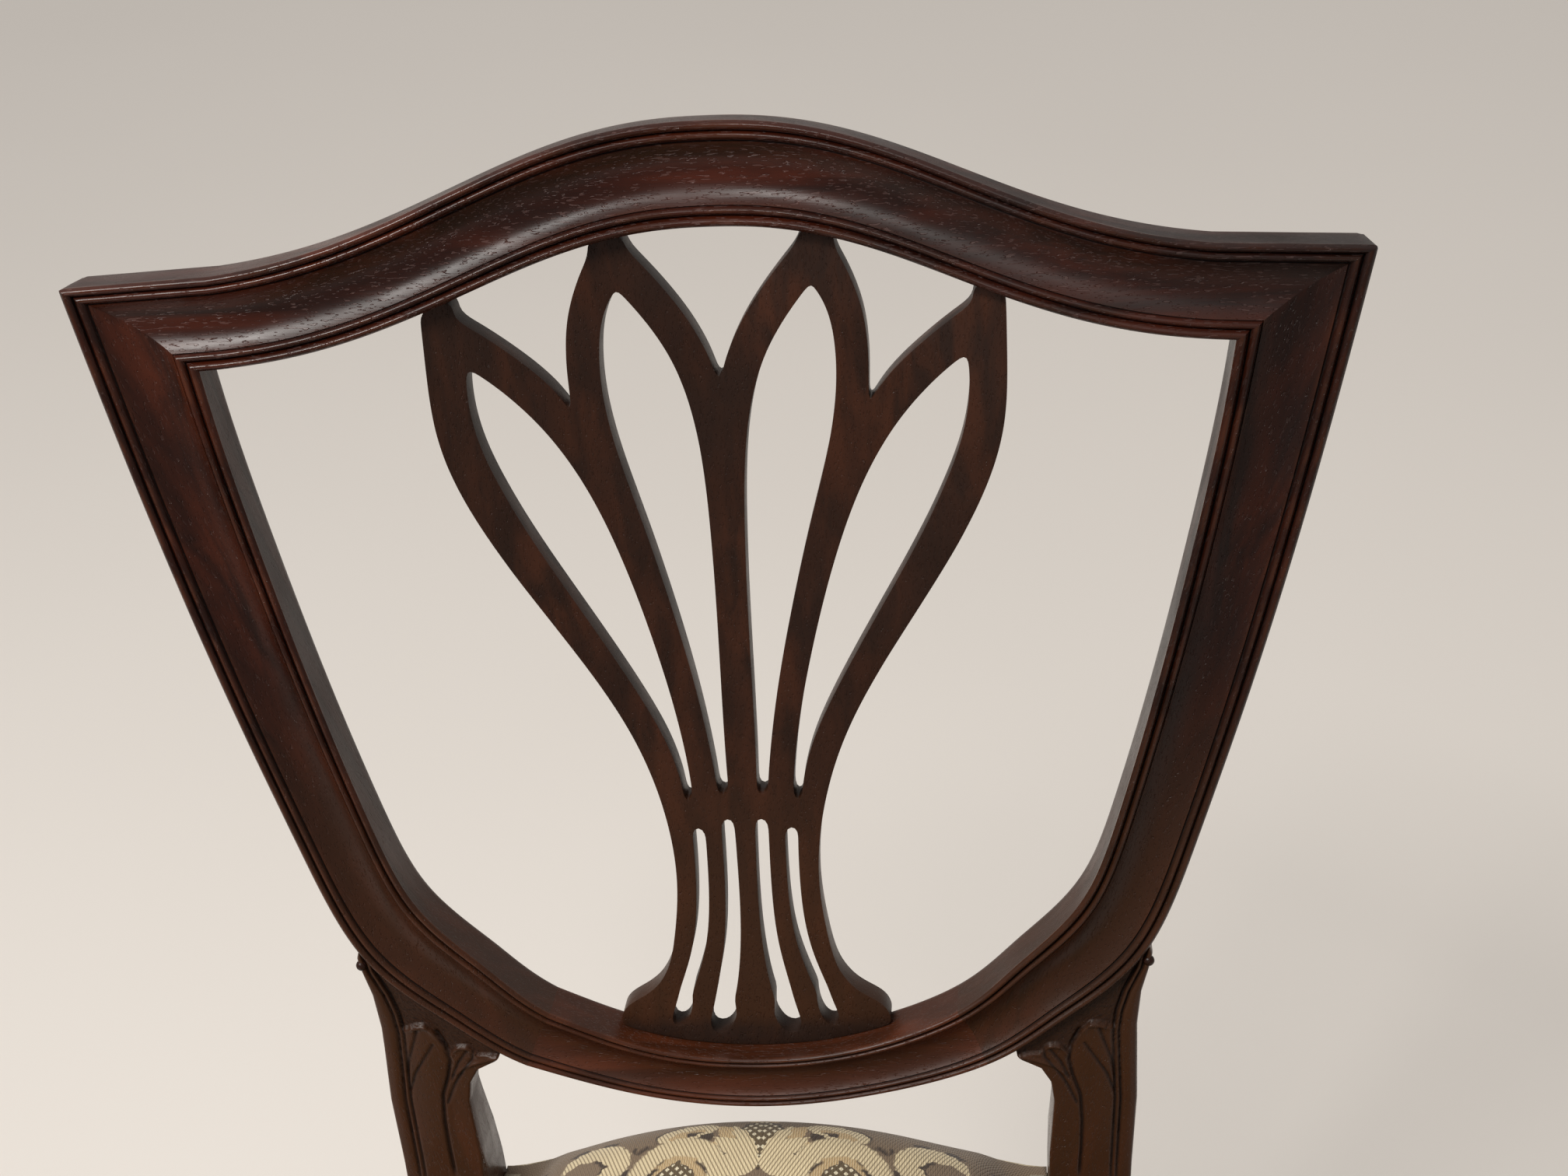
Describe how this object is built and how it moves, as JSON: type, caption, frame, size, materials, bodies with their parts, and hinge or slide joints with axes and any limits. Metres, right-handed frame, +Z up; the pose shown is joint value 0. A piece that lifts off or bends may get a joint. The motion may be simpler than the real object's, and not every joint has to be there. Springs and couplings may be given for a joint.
{
  "type": "dining chair",
  "caption": "Dining chair with a moulded shield-shaped open back, a pierced fan splat, a domed fabric seat stuffed over its rails, square tapered front legs and a stretcher frame.",
  "frame": {"origin": "on the floor, below the middle of the chair", "axes": "+Z up, the sitter faces -Y, +X is the right side as seen from the front"},
  "size_m": [0.52, 0.5606, 0.9373],
  "materials": {
    "mahogany": "polished",
    "mahogany_red": "polished",
    "frame_wood": "plain",
    "figured_fabric": "woven",
    "webbing": "coarse weave",
    "linen": "plain weave",
    "stuffing": "loose fibre",
    "dust_cloth": "plain weave",
    "screw_steel": "dull"
  },
  "bodies": {
    "root": {"crest_rail": "mahogany", "left_rear_leg": "mahogany", "right_rear_leg": "mahogany", "shield_lower_rail": "mahogany_red", "splat": "mahogany", "crest_dowels": "frame_wood", "lower_rail_dowels": "frame_wood", "left_front_leg": "mahogany", "right_front_leg": "mahogany", "left_side_stretcher": "mahogany", "right_side_stretcher": "mahogany", "cross_stretcher": "mahogany", "rear_stretcher": "mahogany", "front_seat_rail": "frame_wood", "rear_seat_rail": "frame_wood", "left_seat_rail": "frame_wood", "right_seat_rail": "frame_wood", "left_front_corner_block": "frame_wood", "right_front_corner_block": "frame_wood", "left_rear_corner_block": "frame_wood", "right_rear_corner_block": "frame_wood", "block_screws": "screw_steel", "lengthwise_webbing": "webbing", "crosswise_webbing": "webbing", "foundation_cloth": "linen", "seat_pad": "stuffing", "seat_cover": "figured_fabric", "dust_cover": "dust_cloth"}
  },
  "joints": []
}
